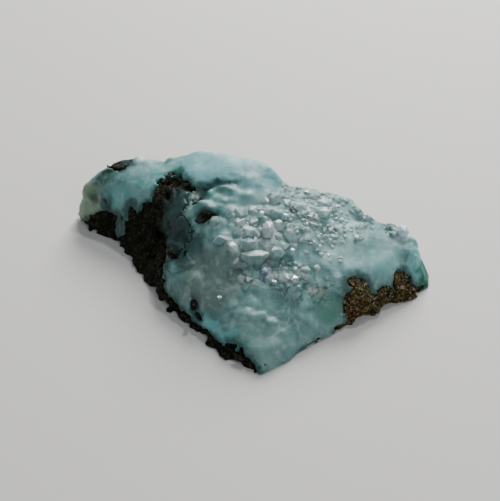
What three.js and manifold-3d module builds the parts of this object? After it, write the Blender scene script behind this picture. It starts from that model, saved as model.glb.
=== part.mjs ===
// A rough piece of gem silica, about 44 x 31 x 11 mm. Translucent blue-green chalcedony, with a druse of small
// quartz crystals on its top, is grown together with the brown host rock that it formed on.
// Millimetres, +Z up. The origin is under the middle of the stone, on the surface that it rests on. The tip of
// the stone points to -Y.
import * as THREE from "three";
import { mergeVertices } from "three/addons/utils/BufferGeometryUtils.js";
import Module from "manifold-3d";

const wasm = await Module();
wasm.setup();

// The stone's edge on the ground, anticlockwise from the front tip: x, y, how far the wall leans in for each
// millimetre of height, and over how many millimetres it rounds into the top.
const OUTLINE = [
  [1.3, -16.0, 0.2, 2.0],
  [5.9, -12.8, 0.25, 2.0],
  [10.7, -8.9, 0.3, 1.8],
  [16.3, -5.1, 0.4, 1.6],
  [20.0, -2.5, 0.4, 1.6],
  [21.8, -1.0, 0.35, 1.6],
  [22.1, 1.0, 0.3, 1.4],
  [20.9, 3.4, 0.15, 1.0],
  [17.6, 5.2, 0.1, 0.8],
  [15.0, 5.6, 0.1, 0.8],
  [13.2, 7.6, 0.1, 0.8],
  [8.4, 9.2, 0.12, 0.8],
  [4.6, 9.4, 0.15, 0.8],
  [2.0, 12.0, 0.12, 1.0],
  [-2.6, 13.4, 0.1, 1.2],
  [-9.2, 14.5, 0.1, 1.2],
  [-15.2, 15.4, 0.12, 1.0],
  [-20.2, 14.9, 0.2, 1.2],
  [-22.9, 12.8, 0.18, 1.8],
  [-21.6, 11.0, 0.25, 1.6],
  [-17.8, 7.9, 0.5, 1.4],
  [-14.6, 3.5, 0.6, 1.4],
  [-12.3, -0.1, 0.6, 1.6],
  [-10.6, -3.2, 0.2, 2.2],
  [-6.4, -8.2, 0.2, 2.0],
  [-2.2, -13.2, 0.2, 2.0],
];

// Spot heights of the top: x, y, height. They start along the back edge and step forwards.
const SPOTS = [
  [-21.0, 12.8, 5.6],
  [-18.2, 13.2, 8.0],
  [-15.3, 13.0, 9.0],
  [-12.0, 12.4, 8.2],
  [-7.5, 11.8, 10.2],
  [-2.5, 11.0, 10.9],
  [1.0, 9.4, 10.9],
  [2.6, 7.8, 10.7],
  [5.4, 6.8, 7.4],
  [8.6, 7.2, 8.8],
  [12.0, 5.8, 7.8],
  [14.4, 2.8, 5.8],
  [16.2, 3.4, 5.8],
  [18.6, 2.6, 6.5],
  [20.9, 0.2, 3.8],
  [-20.4, 10.8, 4.0],
  [-17.2, 10.2, 5.8],
  [-14.0, 9.2, 7.4],
  [-10.5, 9.0, 9.6],
  [-6.0, 7.0, 10.3],
  [-1.0, 5.5, 10.2],
  [3.5, 3.5, 9.3],
  [8.0, 3.0, 8.2],
  [12.5, 1.5, 6.8],
  [17.0, -0.4, 5.2],
  [-15.0, 6.2, 4.8],
  [-11.5, 4.4, 6.8],
  [-7.5, 3.0, 9.0],
  [-3.0, 1.0, 9.2],
  [1.0, -1.0, 8.0],
  [5.5, -1.5, 7.6],
  [10.5, -2.2, 6.4],
  [15.4, -2.6, 4.8],
  [19.4, -1.2, 3.6],
  [-9.4, -0.8, 6.0],
  [-5.0, -3.5, 7.4],
  [0.0, -5.0, 7.0],
  [5.0, -6.0, 6.2],
  [9.0, -6.0, 5.0],
  [-8.9, -3.4, 3.8],
  [-5.6, -7.4, 2.8],
  [-2.8, -7.6, 5.0],
  [0.4, -9.2, 5.5],
  [3.6, -9.2, 5.1],
  [8.4, -9.2, 2.8],
  [-2.0, -11.6, 2.0],
  [1.2, -12.2, 3.2],
  [4.8, -12.0, 2.0],
  [1.2, -14.6, 1.1],
];
const SPOT_REACH = 2.15; // how far each spot's height carries
const TOP_STEEPNESS = 0.92; // turns a height over the top into a distance from it, at its usual slope
const EDGE_NEAR = 0.3; // an edge of the outline that is nearer than this sets the wall's lean alone

// Hollows broken out of the stone, and blobs of host rock inside it: centre, half sizes.
const HOLLOWS = [
  { at: [-12.6, 1.6, 9.0], half: [3.2, 3.0, 5.6] }, // the cove in the left wall
  { at: [6.6, 10.6, 10.2], half: [3.0, 3.8, 2.8] }, // the notch right of the crown
  { at: [15.6, 6.6, 8.2], half: [2.6, 2.8, 2.4] }, // the notch left of the right-hand knob
  { at: [1.6, -5.8, 8.7], half: [4.8, 2.8, 2.7] }, // the shallow vug in the druse
];
const HOLLOW_ROUND = 1.0;
const ROCK_BLOBS = [
  { at: [-11.6, 5.6, 3.4], half: [4.4, 4.6, 4.6] }, // the left wall
  { at: [-9.3, 6.2, 7.6], half: [2.9, 3.6, 3.1] }, // the dark head of the cove
  { at: [-15.4, 8.4, 0.4], half: [4.6, 4.6, 2.8] }, // the foot of the left end
  { at: [-11.4, 0.6, 1.4], half: [2.4, 4.4, 3.8] }, // the cove's foot
  { at: [-8.4, -4.6, 0.0], half: [3.0, 3.6, 1.5] }, // the rim under the left front edge
  { at: [-6.0, -7.6, 0.0], half: [3.0, 3.6, 1.3] },
  { at: [-3.6, -10.4, 0.0], half: [3.0, 3.6, 1.3] },
  { at: [-1.4, -13.4, 0.0], half: [2.6, 3.8, 1.4] },
  { at: [-16.0, 14.8, 4.6], half: [2.2, 2.4, 5.4] }, // the nub at the back
  { at: [12.4, -5.2, 2.3], half: [2.2, 2.6, 3.0] }, // the patch on the right wall
  { at: [15.0, -4.2, 1.4], half: [2.6, 2.4, 2.0] },
  { at: [18.3, -2.6, 1.4], half: [1.6, 1.6, 2.2] }, // the prong right of the patch
];
// The bed of rock under the stone. It thins out past a line at the front and past one near each end.
const BED = {
  height: 2.2,
  front: -1.0,
  frontThins: 0.28,
  left: -18.5,
  right: 18.5,
  endThins: 0.6,
  lumpSpacing: 6.2,
  lumpHeight: 0.9,
};
const BED_STEEPNESS = 0.95; // turns a height over the bed into a distance from it
const SEAM_GAP = 0.36; // between the two solids

// Unevenness: the distance between its lumps, and their height on the chalcedony and on the broken rock.
const LUMP = { spacing: 3.1, gem: 0.35, rock: 0.75 };

// The grid that the surfaces are taken from. The ground lies half way between two of its levels.
const CELL = 1.2;
const GRID = { low: [-24.6, -17.7, -1.5 * CELL], count: [42, 31, 13] };
const PULLS = 5; // how often each vertex is pulled onto its faces
const SMALLEST_DETAIL = 0.03;
const MERGE_DISTANCE = 1e-4;

// The druse: how far apart its crystals stand, how deep they are sunk, how far they lean from upright on the
// surface, and how wide and tall the crystals of each oval field are.
const DRUSE = {
  spacing: 1.4,
  reach: 16,
  jitter: 0.5,
  sunk: 1.1,
  lean: 0.5,
  widths: [0.8, 1.25],
  heights: [0.4, 1.4],
  fields: [
    { at: [0.9, -0.6], half: [4.6, 3.8], radius: 0.95, stands: 0.3 },
    { at: [8.4, 1.4], half: [6.6, 4.8], radius: 0.68, stands: 0.15 },
    { at: [2.4, -5.2], half: [5.2, 3.0], radius: 0.66, stands: 0.15 },
  ],
};
const ROW_CLOSENESS = 0.9; // the distance between the grid's rows over that between its columns
const QUARTZ_TIP = 1.1; // the height of a quartz crystal's pointed end over its radius
const QUARTZ_SIDES = 6;

// Large numbers that scatter the lattice values.
const SCATTER = [374761393, 668265263, 1103515245, 1274126177];

const GEM_LOOK = { color: 0x8fb8b4, roughness: 0.25, flatShading: true };
const ROCK_LOOK = { color: 0x3a3224, roughness: 0.85, flatShading: true };

// A value from 0 to 1 for a lattice point, the same on every run.
function latticeValue(i, j, k) {
  let h = Math.imul(i, SCATTER[0]) ^ Math.imul(j, SCATTER[1]) ^ Math.imul(k, SCATTER[2]);
  h = Math.imul(h ^ (h >>> 13), SCATTER[3]);
  return ((h ^ (h >>> 16)) >>> 0) / 0xffffffff;
}

// Smooth lumps from -1 to 1, one lattice cell apart.
function lumps(x, y, z, spacing) {
  const p = [x / spacing, y / spacing, z / spacing];
  const cell = p.map(Math.floor);
  const [u, v, w] = p.map((value, axis) => THREE.MathUtils.smoothstep(value - cell[axis], 0, 1));
  let sum = 0;
  for (let corner = 0; corner < 8; corner++) {
    const [a, b, c] = [corner & 1, (corner >> 1) & 1, corner >> 2];
    const share = (a ? u : 1 - u) * (b ? v : 1 - v) * (c ? w : 1 - w);
    sum += share * latticeValue(cell[0] + a, cell[1] + b, cell[2] + c);
  }
  return 2 * sum - 1;
}

// The larger value, with the crease between the two rounded over the reach.
function smoothMax(a, b, reach) {
  const h = THREE.MathUtils.clamp(0.5 + (0.5 * (a - b)) / reach, 0, 1);
  return THREE.MathUtils.lerp(b, a, h) + reach * h * (1 - h);
}

// Distance outside a blob, negative inside it.
function blobDistance({ at, half }, x, y, z) {
  const scaled = Math.hypot((x - at[0]) / half[0], (y - at[1]) / half[1], (z - at[2]) / half[2]);
  return (scaled - 1) * Math.min(...half);
}

// The height of the top over a point of the ground.
function topHeight(x, y) {
  let sum = 0;
  let shares = Number.MIN_VALUE;
  for (const [spotX, spotY, height] of SPOTS) {
    const share = Math.exp(-((x - spotX) ** 2 + (y - spotY) ** 2) / (2 * SPOT_REACH ** 2));
    sum += share * height;
    shares += share;
  }
  return sum / shares;
}

// What the stone is like over a point of the ground: the distance outside its outline, the wall's lean and
// rounding near there, and the height of its top.
function columnAt(x, y) {
  let nearest = Infinity;
  let inside = false;
  let [lean, round, shares] = [0, 0, 0];
  OUTLINE.forEach(([ax, ay, aLean, aRound], index) => {
    const [bx, by, bLean, bRound] = OUTLINE[(index + 1) % OUTLINE.length];
    const [ex, ey] = [bx - ax, by - ay];
    const along = THREE.MathUtils.clamp(((x - ax) * ex + (y - ay) * ey) / (ex * ex + ey * ey), 0, 1);
    const distance = Math.hypot(x - ax - along * ex, y - ay - along * ey);
    const share = 1 / (distance + EDGE_NEAR) ** 4;
    lean += share * THREE.MathUtils.lerp(aLean, bLean, along);
    round += share * THREE.MathUtils.lerp(aRound, bRound, along);
    shares += share;
    nearest = Math.min(nearest, distance);
    if (ay > y !== by > y && x < ax + ((y - ay) * ex) / ey) inside = !inside;
  });
  return {
    x,
    y,
    outside: inside ? -nearest : nearest,
    lean: lean / shares,
    round: round / shares,
    top: topHeight(x, y),
  };
}

// The whole stone as a field that is negative inside it.
function stoneField({ x, y, outside, lean, round, top }, z) {
  const wall = (outside + lean * z) / Math.hypot(1, lean);
  let field = smoothMax(wall, (z - top) * TOP_STEEPNESS, round);
  for (const hollow of HOLLOWS) field = smoothMax(field, -blobDistance(hollow, x, y, z), HOLLOW_ROUND);
  return field;
}

// Positive inside the host rock, negative in the chalcedony.
function rockField({ x, y }, z) {
  const pastEnd = Math.max(0, BED.left - x, x - BED.right);
  const thinned = BED.frontThins * Math.max(0, BED.front - y) + BED.endThins * pastEnd;
  const bed = BED.height - thinned + BED.lumpHeight * lumps(x, y, 0, BED.lumpSpacing);
  let field = (bed - z) * BED_STEEPNESS;
  for (const blob of ROCK_BLOBS) field = Math.max(field, -blobDistance(blob, x, y, z));
  return field;
}

// Each solid is what lies inside all of its faces: the uneven outside of the stone, the ground and the seam.
function gemFaces(column, z) {
  const stone = stoneField(column, z) + LUMP.gem * lumps(column.x, column.y, z, LUMP.spacing);
  return [stone, -z, rockField(column, z) + SEAM_GAP / 2];
}

function hostRockFaces(column, z) {
  const stone = stoneField(column, z) + LUMP.rock * lumps(column.x, column.y, z, LUMP.spacing);
  return [stone, -z, SEAM_GAP / 2 - rockField(column, z)];
}

const [NX, NY, NZ] = GRID.count;
const slot = (i, j, k) => (i * NY + j) * NZ + k;

const columns = new Map();
function gridColumn(i, j) {
  const key = i * NY + j;
  if (!columns.has(key)) columns.set(key, columnAt(GRID.low[0] + i * CELL, GRID.low[1] + j * CELL));
  return columns.get(key);
}

// A square of the grid that is solid at two opposite corners only would make the surface touch itself along a
// line. The corner nearest the surface changes sides there, until no such square is left.
const [STEP_X, STEP_Y, STEP_Z] = [slot(1, 0, 0), slot(0, 1, 0), slot(0, 0, 1)];
const SQUARES = [[STEP_X, STEP_Y], [STEP_Y, STEP_Z], [STEP_Z, STEP_X]];
function separateSheets(values) {
  const nearer = (at, other) => (Math.abs(values[other]) < Math.abs(values[at]) ? other : at);
  let changed = true;
  while (changed) {
    changed = false;
    for (let i = 0; i < NX - 1; i++)
      for (let j = 0; j < NY - 1; j++)
        for (let k = 0; k < NZ - 1; k++)
          for (const [across, up] of SQUARES) {
            const start = slot(i, j, k);
            const square = [start, start + across, start + across + up, start + up];
            const [a, b, c, d] = square.map((at) => values[at] < 0);
            if (a !== c || b !== d || a === b) continue;
            const weakest = square.reduce(nearer);
            values[weakest] = -values[weakest];
            changed = true;
          }
  }
}

// Pulls a vertex onto each face that crosses its cell, so that the edges between faces stay crisp.
function pullOnto(faces, active, vertex, low) {
  const step = 0.02;
  const leastSlope = 1e-6;
  const high = low.clone().addScalar(CELL);
  low.z = Math.max(low.z, 0);
  const at = (x, y, z) => faces(columnAt(x, y), z);
  for (let round = 0; round < PULLS; round++)
    for (const face of active) {
      const { x, y, z } = vertex;
      const value = at(x, y, z)[face];
      const slope = new THREE.Vector3(
        at(x + step, y, z)[face] - value,
        at(x, y + step, z)[face] - value,
        at(x, y, z + step)[face] - value,
      ).divideScalar(step);
      vertex.addScaledVector(slope, -value / Math.max(slope.lengthSq(), leastSlope));
      vertex.clamp(low, high);
    }
}

// Surface nets: one vertex in each cell that the surface crosses, one square across each crossed grid edge.
function surfaceOf(faces) {
  const cornerFaces = [];
  const values = new Float64Array(NX * NY * NZ);
  for (let i = 0; i < NX; i++)
    for (let j = 0; j < NY; j++)
      for (let k = 0; k < NZ; k++) {
        const here = faces(gridColumn(i, j), GRID.low[2] + k * CELL);
        cornerFaces[slot(i, j, k)] = here;
        values[slot(i, j, k)] = Math.max(...here);
      }
  separateSheets(values);

  const positions = [];
  const vertexOf = new Map();
  function vertexIn(i, j, k) {
    const key = slot(i, j, k);
    if (vertexOf.has(key)) return vertexOf.get(key);
    const sum = new THREE.Vector3();
    const active = new Set();
    let crossings = 0;
    for (let corner = 0; corner < 8; corner++)
      for (let axis = 0; axis < 3; axis++) {
        if (corner & (1 << axis)) continue;
        const from = [i + (corner & 1), j + ((corner >> 1) & 1), k + (corner >> 2)];
        const to = from.map((value, index) => value + (index === axis ? 1 : 0));
        const [a, b] = [values[slot(...from)], values[slot(...to)]];
        if (a < 0 === b < 0) continue;
        const along = a / (a - b);
        const point = new THREE.Vector3(...from);
        point.setComponent(axis, point.getComponent(axis) + along);
        sum.add(point);
        crossings++;
        const ends = [cornerFaces[slot(...from)], cornerFaces[slot(...to)]];
        const here = ends[0].map((value, face) => THREE.MathUtils.lerp(value, ends[1][face], along));
        active.add(here.indexOf(Math.max(...here)));
      }
    const base = new THREE.Vector3(...GRID.low);
    const vertex = sum.multiplyScalar(CELL / crossings).add(base);
    pullOnto(faces, active, vertex, new THREE.Vector3(i, j, k).multiplyScalar(CELL).add(base));
    positions.push(vertex.x, vertex.y, vertex.z);
    vertexOf.set(key, positions.length / 3 - 1);
    return vertexOf.get(key);
  }

  const triangles = [];
  for (let i = 1; i < NX - 1; i++)
    for (let j = 1; j < NY - 1; j++)
      for (let k = 1; k < NZ - 1; k++)
        for (let axis = 0; axis < 3; axis++) {
          const here = [i, j, k];
          const next = here.map((value, index) => value + (index === axis ? 1 : 0));
          const starts = values[slot(...here)] < 0;
          if (starts === values[slot(...next)] < 0) continue;
          const corners = [[1, 1], [0, 1], [0, 0], [1, 0]].map(([back, down]) => {
            const cell = [...here];
            cell[(axis + 1) % 3] -= back;
            cell[(axis + 2) % 3] -= down;
            return vertexIn(...cell);
          });
          if (!starts) corners.reverse();
          const [a, b, c, d] = corners;
          triangles.push(a, b, c, a, c, d);
        }
  const geometry = new THREE.BufferGeometry();
  geometry.setAttribute("position", new THREE.Float32BufferAttribute(positions, 3));
  return geometry.setIndex(triangles);
}

function solidOf(geometry) {
  const bare = geometry.clone();
  bare.deleteAttribute("normal");
  bare.deleteAttribute("uv");
  const merged = mergeVertices(bare, MERGE_DISTANCE);
  const vertProperties = merged.attributes.position.array;
  const triVerts = new Uint32Array(merged.index.array);
  return new wasm.Manifold(new wasm.Mesh({ numProp: 3, vertProperties, triVerts }));
}

// The solid's mesh, without slivers below the smallest detail.
function geometryOf(solid) {
  const mesh = solid.simplify(SMALLEST_DETAIL).getMesh();
  const geometry = new THREE.BufferGeometry();
  geometry.setAttribute("position", new THREE.BufferAttribute(mesh.vertProperties, 3));
  geometry.setIndex(new THREE.BufferAttribute(mesh.triVerts, 1));
  return geometry;
}

// Where the chalcedony's top is over a point of the ground, and which way it faces over a crystal's width.
function surfaceHeight(x, y) {
  const step = 0.05;
  const column = columnAt(x, y);
  let z = column.top + DRUSE.sunk;
  while (z > 0 && Math.max(...gemFaces(column, z)) > 0) z -= step;
  return z;
}

function surfaceNormal(x, y) {
  const step = DRUSE.spacing / 2;
  const slopeX = (surfaceHeight(x + step, y) - surfaceHeight(x - step, y)) / (2 * step);
  const slopeY = (surfaceHeight(x, y + step) - surfaceHeight(x, y - step)) / (2 * step);
  return new THREE.Vector3(-slopeX, -slopeY, 1).normalize();
}

// A six-sided quartz crystal along +Z, with its foot sunk below the origin.
function crystalGeometry(radius, stands) {
  const profile = [
    [0, -DRUSE.sunk],
    [radius, -DRUSE.sunk],
    [radius, stands],
    [0, stands + QUARTZ_TIP * radius],
  ];
  const points = profile.map(([r, h]) => new THREE.Vector2(r, h));
  return new THREE.LatheGeometry(points, QUARTZ_SIDES).rotateX(Math.PI / 2);
}

// The field of the druse that a point of the ground lies in, if any.
function druseFieldAt(x, y) {
  return DRUSE.fields.find(({ at, half }) => Math.hypot((x - at[0]) / half[0], (y - at[1]) / half[1]) < 1);
}

// One crystal of the druse, with its size, lean and turn taken from its place in the grid.
function druseCrystal(x, y, field, chance) {
  const radius = field.radius * THREE.MathUtils.lerp(...DRUSE.widths, chance(3));
  const stands = field.stands * THREE.MathUtils.lerp(...DRUSE.heights, chance(6));
  const lean = new THREE.Vector3(chance(4) - 0.5, chance(5) - 0.5, 0).multiplyScalar(2 * DRUSE.lean);
  const axis = surfaceNormal(x, y).add(lean).normalize();
  const turn = new THREE.Quaternion().setFromUnitVectors(new THREE.Vector3(0, 0, 1), axis);
  const geometry = crystalGeometry(radius, stands).rotateZ(chance(7) * Math.PI).applyQuaternion(turn);
  return solidOf(geometry.translate(x, y, surfaceHeight(x, y)));
}

// The crystals of the druse, on a staggered grid that is jittered, wherever a field is.
function druseCrystals() {
  const crystals = [];
  for (let i = -DRUSE.reach; i <= DRUSE.reach; i++)
    for (let j = -DRUSE.reach; j <= DRUSE.reach; j++) {
      const chance = (salt) => latticeValue(i, j, salt);
      const x = (i + (j % 2) / 2 + DRUSE.jitter * (chance(1) - 0.5)) * DRUSE.spacing;
      const y = (j + DRUSE.jitter * (chance(2) - 0.5)) * DRUSE.spacing * ROW_CLOSENESS;
      const field = druseFieldAt(x, y);
      if (field) crystals.push(druseCrystal(x, y, field, chance));
    }
  return crystals;
}

const largestBody = (solid) =>
  solid.decompose().reduce((largest, body) => (body.volume() > largest.volume() ? body : largest));

// The chalcedony and its crystals as one body, without the crumbs that the seam leaves over.
function gemSilica() {
  const grown = druseCrystals().reduce((stone, crystal) => stone.add(crystal), solidOf(surfaceOf(gemFaces)));
  const mesh = new THREE.Mesh(geometryOf(largestBody(grown)), new THREE.MeshStandardMaterial(GEM_LOOK));
  mesh.name = "gem_silica";
  return mesh;
}

function hostRock() {
  const rock = largestBody(solidOf(surfaceOf(hostRockFaces)));
  const mesh = new THREE.Mesh(geometryOf(rock), new THREE.MeshStandardMaterial(ROCK_LOOK));
  mesh.name = "host_rock";
  return mesh;
}

const stone = new THREE.Group();
stone.name = "gem_silica_rough";
stone.add(hostRock(), gemSilica());

export default stone;
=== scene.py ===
"""A rough piece of gem silica: its translucent chalcedony, its druse of quartz points and the rock that it
grew on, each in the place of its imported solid, with a plain floor, soft light and a camera."""
import itertools
import math

import bpy
import numpy as np
from mathutils import Euler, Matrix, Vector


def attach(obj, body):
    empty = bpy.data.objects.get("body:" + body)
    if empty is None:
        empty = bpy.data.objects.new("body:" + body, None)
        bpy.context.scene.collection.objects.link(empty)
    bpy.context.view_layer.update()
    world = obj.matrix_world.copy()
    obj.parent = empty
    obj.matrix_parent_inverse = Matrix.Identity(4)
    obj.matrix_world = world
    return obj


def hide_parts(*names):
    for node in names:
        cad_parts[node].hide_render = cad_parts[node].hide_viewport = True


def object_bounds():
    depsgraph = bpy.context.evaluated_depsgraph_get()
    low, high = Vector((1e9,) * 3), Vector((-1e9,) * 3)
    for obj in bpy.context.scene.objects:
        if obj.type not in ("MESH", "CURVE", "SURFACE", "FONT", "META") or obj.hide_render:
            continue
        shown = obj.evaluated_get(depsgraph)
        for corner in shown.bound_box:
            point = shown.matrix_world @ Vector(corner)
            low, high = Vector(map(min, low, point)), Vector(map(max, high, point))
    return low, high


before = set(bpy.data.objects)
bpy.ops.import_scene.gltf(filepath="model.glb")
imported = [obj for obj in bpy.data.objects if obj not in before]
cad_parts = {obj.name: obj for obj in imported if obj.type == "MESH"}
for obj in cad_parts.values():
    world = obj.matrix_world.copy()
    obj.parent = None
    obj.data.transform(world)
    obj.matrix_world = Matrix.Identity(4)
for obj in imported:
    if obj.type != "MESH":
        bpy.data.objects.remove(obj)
CAD_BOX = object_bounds()

bl_info = {
    "name": "Gem Silica Rough",
    "version": (1, 0, 0),
    "blender": (4, 5, 0),
    "location": "3D Viewport > Sidebar > Gem Silica",
    "description": "Builds the surface and finish of a rough piece of gem silica on its host rock",
    "category": "Mesh",
}

MM = 0.001
GEM = "gem_silica"
ROCK = "host_rock"
ROOT = "root"
# The names of the numbers that a mesh stores: the distance from rock in millimetres, and a crystal's shade.
FROM_ROCK = "from_rock"
SHADE = "shade"

# The stone's form, in millimetres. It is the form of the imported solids, with finer detail.
# The edge on the ground, anticlockwise from the front tip: x, y, inward lean of the wall per millimetre of
# height, and over how many millimetres the wall rounds into the top.
OUTLINE = (
    (1.3, -16.0, 0.2, 2.0),
    (5.9, -12.8, 0.25, 2.0),
    (10.7, -8.9, 0.3, 1.8),
    (16.3, -5.1, 0.4, 1.6),
    (20.0, -2.5, 0.4, 1.6),
    (21.8, -1.0, 0.35, 1.6),
    (22.1, 1.0, 0.3, 1.4),
    (20.9, 3.4, 0.15, 1.0),
    (17.6, 5.2, 0.1, 0.8),
    (15.0, 5.6, 0.1, 0.8),
    (13.2, 7.6, 0.1, 0.8),
    (8.4, 9.2, 0.12, 0.8),
    (4.6, 9.4, 0.15, 0.8),
    (2.0, 12.0, 0.12, 1.0),
    (-2.6, 13.4, 0.1, 1.2),
    (-9.2, 14.5, 0.1, 1.2),
    (-15.2, 15.4, 0.12, 1.0),
    (-20.2, 14.9, 0.2, 1.2),
    (-22.5, 12.8, 0.18, 1.8),
    (-21.6, 11.0, 0.25, 1.6),
    (-17.8, 7.9, 0.5, 1.4),
    (-14.6, 3.5, 0.6, 1.4),
    (-12.3, -0.1, 0.6, 1.6),
    (-10.6, -3.2, 0.2, 2.2),
    (-6.4, -8.2, 0.2, 2.0),
    (-2.2, -13.2, 0.2, 2.0),
)
# Spot heights of the top: x, y, height.
SPOTS = (
    (-21.0, 12.8, 5.6), (-18.2, 13.2, 8.0), (-15.3, 13.0, 9.0), (-12.0, 12.4, 8.2), (-7.5, 11.8, 10.2),
    (-2.5, 11.0, 10.9), (1.0, 9.4, 10.9), (2.6, 7.8, 10.7), (5.4, 6.8, 7.4), (8.6, 7.2, 8.8),
    (12.0, 5.8, 7.8), (13.6, 5.0, 9.2), (14.8, 2.8, 5.8), (16.2, 3.4, 5.8), (18.6, 2.6, 6.5),
    (20.9, 0.2, 3.8), (-20.4, 10.8, 4.0), (-17.2, 10.2, 5.8), (-14.0, 9.2, 7.4), (-10.5, 9.0, 9.6),
    (-6.0, 7.0, 10.3), (-1.0, 5.5, 10.2), (3.5, 3.5, 9.3), (8.0, 3.0, 8.2), (12.5, 1.5, 6.8),
    (17.0, -0.4, 5.2), (-15.0, 6.2, 4.8), (-11.5, 4.4, 6.8), (-7.5, 3.0, 9.0), (-3.0, 1.0, 9.2),
    (1.0, -1.0, 8.0), (5.5, -1.5, 7.6), (10.5, -2.2, 6.4), (15.4, -2.6, 4.8), (19.4, -1.2, 3.6),
    (-9.4, -0.8, 6.0), (-5.0, -3.5, 7.4), (0.0, -5.0, 7.0), (5.0, -6.0, 6.2), (9.0, -6.0, 5.0),
    (-8.9, -3.4, 3.8), (-5.6, -7.4, 2.8), (-2.8, -7.6, 5.0), (0.4, -9.2, 5.5), (3.6, -9.2, 5.1),
    (8.4, -9.2, 2.8), (-2.0, -11.6, 2.0), (1.2, -12.2, 3.2), (4.8, -12.0, 2.0), (1.2, -14.6, 1.1),
)
SPOT_REACH = 2.15  # how far each spot's height carries
TOP_STEEPNESS = 0.92  # turns a height over the top into a distance from it, at its usual slope
EDGE_NEAR = 0.3  # an edge of the outline that is nearer than this sets the wall's lean alone
EDGE_FALL = 4  # how fast an edge's say in the lean falls with its distance

# Hollows in the stone: centre, half sizes.
HOLLOWS = (
    ((-12.6, 1.6, 9.0), (3.2, 3.0, 5.6)),
    ((6.6, 10.6, 10.2), (3.0, 3.8, 2.8)),
    ((15.6, 6.6, 8.2), (2.6, 2.8, 2.4)),
    ((1.6, -5.8, 8.7), (4.8, 2.8, 2.7)),
)
HOLLOW_ROUND = 1.0  # over how many millimetres their rims are rounded
# Small hollows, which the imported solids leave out, as they do the knobs, specks and runs.
SMALL_HOLLOWS = (
    ((-4.7, 6.4, 10.8), (3.0, 0.9, 1.4)),
    ((-6.0, 4.9, 10.4), (1.0, 1.5, 1.2)),
    ((-1.5, -5.1, 7.5), (1.1, 1.0, 1.2)),
    ((5.6, -6.9, 6.5), (1.8, 0.8, 1.0)),
    ((16.9, 3.0, 6.9), (0.6, 1.6, 1.2)),
    ((6.7, 7.4, 10.0), (1.2, 3.0, 1.9)),
    ((16.9, 5.2, 8.0), (2.3, 3.0, 2.3)),
)
SMALL_ROUND = 0.35  # the same for the small hollows and the knobs
# Rounded knobs that stand out of the chalcedony: centre, half sizes.
KNOBS = (
    ((-4.6, 5.1, 9.4), (0.6, 0.6, 0.7)),
    ((-3.2, 5.5, 9.8), (1.0, 0.5, 0.7)),
    ((-1.8, 5.0, 9.8), (0.6, 0.7, 0.8)),
    ((-5.3, 3.4, 9.0), (0.9, 0.6, 0.7)),
    ((-4.0, 4.2, 9.3), (0.6, 0.5, 0.7)),
    ((-2.7, 3.7, 9.4), (1.1, 0.5, 0.7)),
    ((-0.4, 4.5, 9.7), (0.9, 0.6, 0.6)),
    ((-4.5, 2.6, 8.9), (0.6, 0.5, 0.6)),
    ((-3.5, 2.9, 9.0), (0.4, 0.4, 0.5)),
    ((-0.4, -10.1, 3.9), (1.0, 0.6, 0.6)),
    ((1.2, -10.4, 3.9), (1.1, 0.6, 0.6)),
    ((2.6, -11.0, 3.4), (1.0, 0.7, 0.6)),
    ((-14.1, 13.6, 8.15), (0.9, 0.6, 0.6)),
)
# Blobs of rock that reach out of its bed or through the chalcedony, and specks of it in the chalcedony.
ROCK_BLOBS = (
    ((-11.3, 5.0, 3.4), (3.7, 3.7, 4.2)),
    ((-9.2, 6.5, 7.6), (2.7, 3.6, 3.1)),
    ((-8.7, 1.0, 6.4), (1.8, 2.6, 2.2)),
    ((-15.4, 8.4, 0.4), (4.6, 4.6, 2.8)),
    ((-11.4, 0.6, 1.4), (2.4, 4.4, 3.8)),
    ((-8.4, -4.6, 0.0), (3.0, 3.6, 1.3)),
    ((-6.0, -7.6, 0.0), (3.0, 3.6, 1.0)),
    ((-3.6, -10.4, 0.0), (3.0, 3.6, 0.9)),
    ((-1.4, -13.4, 0.0), (2.6, 3.8, 1.2)),
    ((-16.0, 14.8, 4.6), (2.2, 2.4, 5.4)),
    ((12.4, -5.2, 1.9), (2.2, 2.6, 3.0)),
    ((15.2, -4.2, 1.2), (2.6, 2.4, 1.5)),
    ((18.2, -2.6, 1.1), (1.4, 1.6, 2.2)),
)
SPECKS = (
    ((-19.7, 10.7, 4.4), (0.25, 0.3, 0.3)),
    ((-18.1, 10.0, 4.1), (0.5, 0.7, 0.7)),
    ((-5.1, 1.7, 8.9), (0.75, 0.5, 0.7)),
    ((-6.3, 4.6, 9.2), (0.55, 0.9, 0.9)),
    ((-6.4, -7.4, 2.6), (0.15, 0.3, 0.3)),
    ((-5.9, -8.0, 1.8), (0.5, 0.4, 0.3)),
    ((-1.4, -12.6, 1.3), (0.8, 0.9, 0.5)),
    ((-14.8, 7.7, 4.6), (0.8, 1.2, 1.1)),
)
# Where a smooth film lies over the rock.
FILM = ((-8.2, 2.7, 7.5), (2.8, 4.7, 3.2))
# Where the chalcedony runs down over the rock.
RUNS = (((-16.4, 7.6, 2.8), (0.7, 1.6, 1.8)),)
# The bed of rock under the chalcedony.
BED_HEIGHT = 2.2
BED_FRONT = -1.0  # the y forwards of which it gets thinner
BED_THINS = 0.28  # for each millimetre
BED_END = 18.5  # the x on either side beyond which it gets thinner too
BED_END_THINS = 0.6
BED_LUMPS = (6.2, 0.9)  # their spacing and height
BED_STEEPNESS = 0.95  # turns a height over the bed into a distance from it

# Unevenness: spacing of the lumps and their height. The first pair for the chalcedony and for the rock is
# also in the solids.
GEM_LUMPS = ((3.1, 0.35), (1.3, 0.14), (0.6, 0.045))
GEM_BILLOWS = ((2.3, 0.38), (1.0, 0.14))
BILLOW_CREASE = 0.3  # how deep the creases between billows lie, as a share of the billows' height
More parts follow.
